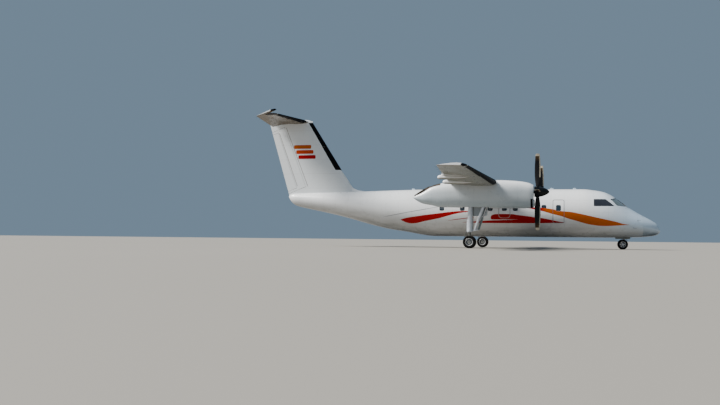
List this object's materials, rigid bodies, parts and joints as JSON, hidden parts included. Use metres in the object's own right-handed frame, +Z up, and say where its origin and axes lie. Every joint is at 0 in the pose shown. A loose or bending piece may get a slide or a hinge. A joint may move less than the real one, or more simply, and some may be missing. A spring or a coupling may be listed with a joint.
{
  "type": "high-wing twin turboprop airliner",
  "caption": "Short regional airliner on its landing gear: round fuselage, high straight wing with long nacelles, four-blade propellers and a T-tail.",
  "frame": {"origin": "on the ground under the middle of the whole aircraft's box", "axes": "+X to the nose, +Y to port along the wing, +Z up"},
  "size_m": [22.25, 25.89, 7.6104],
  "materials": {
    "white_paint": "gloss",
    "dark_glass": "polished",
    "black_blade": "satin",
    "strut_paint": "satin",
    "wheel_metal": "satin",
    "tyre_rubber": "matt",
    "exhaust_metal": "heat stained",
    "engine_metal": "satin"
  },
  "bodies": {
    "airframe": {"radome": "white_paint", "fuselage_front": "white_paint", "fuselage_centre": "white_paint", "fuselage_rear": "white_paint", "windshield_left": "dark_glass", "windshield_right": "dark_glass", "side_window_left": "dark_glass", "side_window_right": "dark_glass", "baggage_door": "white_paint", "emergency_exit": "white_paint", "wing_centre": "white_paint", "wing_fairing": "white_paint", "fin": "white_paint", "tailplane": "white_paint", "nose_leg": "strut_paint", "wing_outer_right": "white_paint", "wing_outer_left": "white_paint", "flap_inner_right": "white_paint", "flap_inner_left": "white_paint", "flap_outer_right": "white_paint", "flap_outer_left": "white_paint", "cowl_right": "white_paint", "cowl_left": "white_paint", "nacelle_right": "white_paint", "nacelle_left": "white_paint", "engine_block_right": "engine_metal", "engine_block_left": "engine_metal", "exhaust_right": "exhaust_metal", "exhaust_left": "exhaust_metal", "main_leg_right": "strut_paint", "main_leg_left": "strut_paint", "gear_door_right": "white_paint", "gear_door_left": "white_paint", "nose_door_right": "white_paint", "nose_door_left": "white_paint"},
    "passenger_door": {"passenger_door": "white_paint"},
    "rudder_fore": {"rudder_fore": "white_paint"},
    "rudder_rear": {"rudder_rear": "white_paint"},
    "nose_steering": {"steering_fork": "strut_paint"},
    "nose_wheels": {"nose_rim_right": "wheel_metal", "nose_rim_left": "wheel_metal", "nose_tyre_right": "tyre_rubber", "nose_tyre_left": "tyre_rubber"},
    "propeller_right": {"propeller_right": "black_blade"},
    "main_wheels_right": {"main_rim_outer_right": "wheel_metal", "main_rim_inner_right": "wheel_metal", "main_tyre_outer_right": "tyre_rubber", "main_tyre_inner_right": "tyre_rubber"},
    "aileron_right": {"aileron_right": "white_paint"},
    "elevator_right": {"elevator_right": "white_paint"},
    "propeller_left": {"propeller_left": "black_blade"},
    "main_wheels_left": {"main_rim_outer_left": "wheel_metal", "main_rim_inner_left": "wheel_metal", "main_tyre_outer_left": "tyre_rubber", "main_tyre_inner_left": "tyre_rubber"},
    "aileron_left": {"aileron_left": "white_paint"},
    "elevator_left": {"elevator_left": "white_paint"}
  },
  "joints": [
    {"name": "propeller_right_spin", "type": "hinge", "parent": "airframe", "child": "propeller_right", "pos_m": [4.715, -3.935, 2.96], "axis": [1, 0, 0], "continuous": true},
    {"name": "propeller_left_spin", "type": "hinge", "parent": "airframe", "child": "propeller_left", "pos_m": [4.715, 3.935, 2.96], "axis": [1, 0, 0], "continuous": true},
    {"name": "main_wheels_right_roll", "type": "hinge", "parent": "airframe", "child": "main_wheels_right", "pos_m": [1.225, -3.935, 0.33362], "axis": [0, 1, 0], "continuous": true},
    {"name": "main_wheels_left_roll", "type": "hinge", "parent": "airframe", "child": "main_wheels_left", "pos_m": [1.225, 3.935, 0.33362], "axis": [0, 1, 0], "continuous": true},
    {"name": "nose_steer", "type": "hinge", "parent": "airframe", "child": "nose_steering", "pos_m": [9.245, 0, 0.7], "axis": [0, 0, 1], "range_deg": [-60, 60]},
    {"name": "nose_wheels_roll", "type": "hinge", "parent": "nose_steering", "child": "nose_wheels", "pos_m": [9.175, 0, 0.27711], "axis": [0, 1, 0], "continuous": true},
    {"name": "passenger_door_swing", "type": "hinge", "parent": "airframe", "child": "passenger_door", "pos_m": [6.495, 1.0064, 1.106], "axis": [-1, 0, 0], "range_deg": [0, 115]},
    {"name": "aileron_right_swing", "type": "hinge", "parent": "airframe", "child": "aileron_right", "pos_m": [0.8675, -10.8, 3.61339], "axis": [0.066, -0.9974, 0.0284], "range_deg": [-20, 20]},
    {"name": "aileron_left_swing", "type": "hinge", "parent": "airframe", "child": "aileron_left", "pos_m": [0.8675, 10.8, 3.61339], "axis": [-0.066, -0.9974, -0.0284], "range_deg": [-20, 20]},
    {"name": "elevator_right_swing", "type": "hinge", "parent": "airframe", "child": "elevator_right", "pos_m": [-10.15, -2.005, 7.34], "axis": [-0.0566, -0.9984, 0], "range_deg": [-40, 0]},
    {"name": "elevator_left_swing", "type": "hinge", "parent": "airframe", "child": "elevator_left", "pos_m": [-10.15, 2.005, 7.34], "axis": [0.0566, -0.9984, 0], "range_deg": [-40, 0]},
    {"name": "rudder_fore_swing", "type": "hinge", "parent": "airframe", "child": "rudder_fore", "pos_m": [-9.545, 0, 5.25], "axis": [-0.3586, 0, 0.9335], "range_deg": [-18, 18]},
    {"name": "rudder_rear_swing", "type": "hinge", "parent": "rudder_fore", "child": "rudder_rear", "pos_m": [-10.023, 0, 5.05], "axis": [-0.3357, 0, 0.942], "range_deg": [-18, 18]}
  ],
  "couplings": [
    {"joint": "rudder_rear_swing", "follows": "rudder_fore_swing", "ratio": 1},
    {"joint": "elevator_left_swing", "follows": "elevator_right_swing", "ratio": 1},
    {"joint": "aileron_left_swing", "follows": "aileron_right_swing", "ratio": -1}
  ]
}
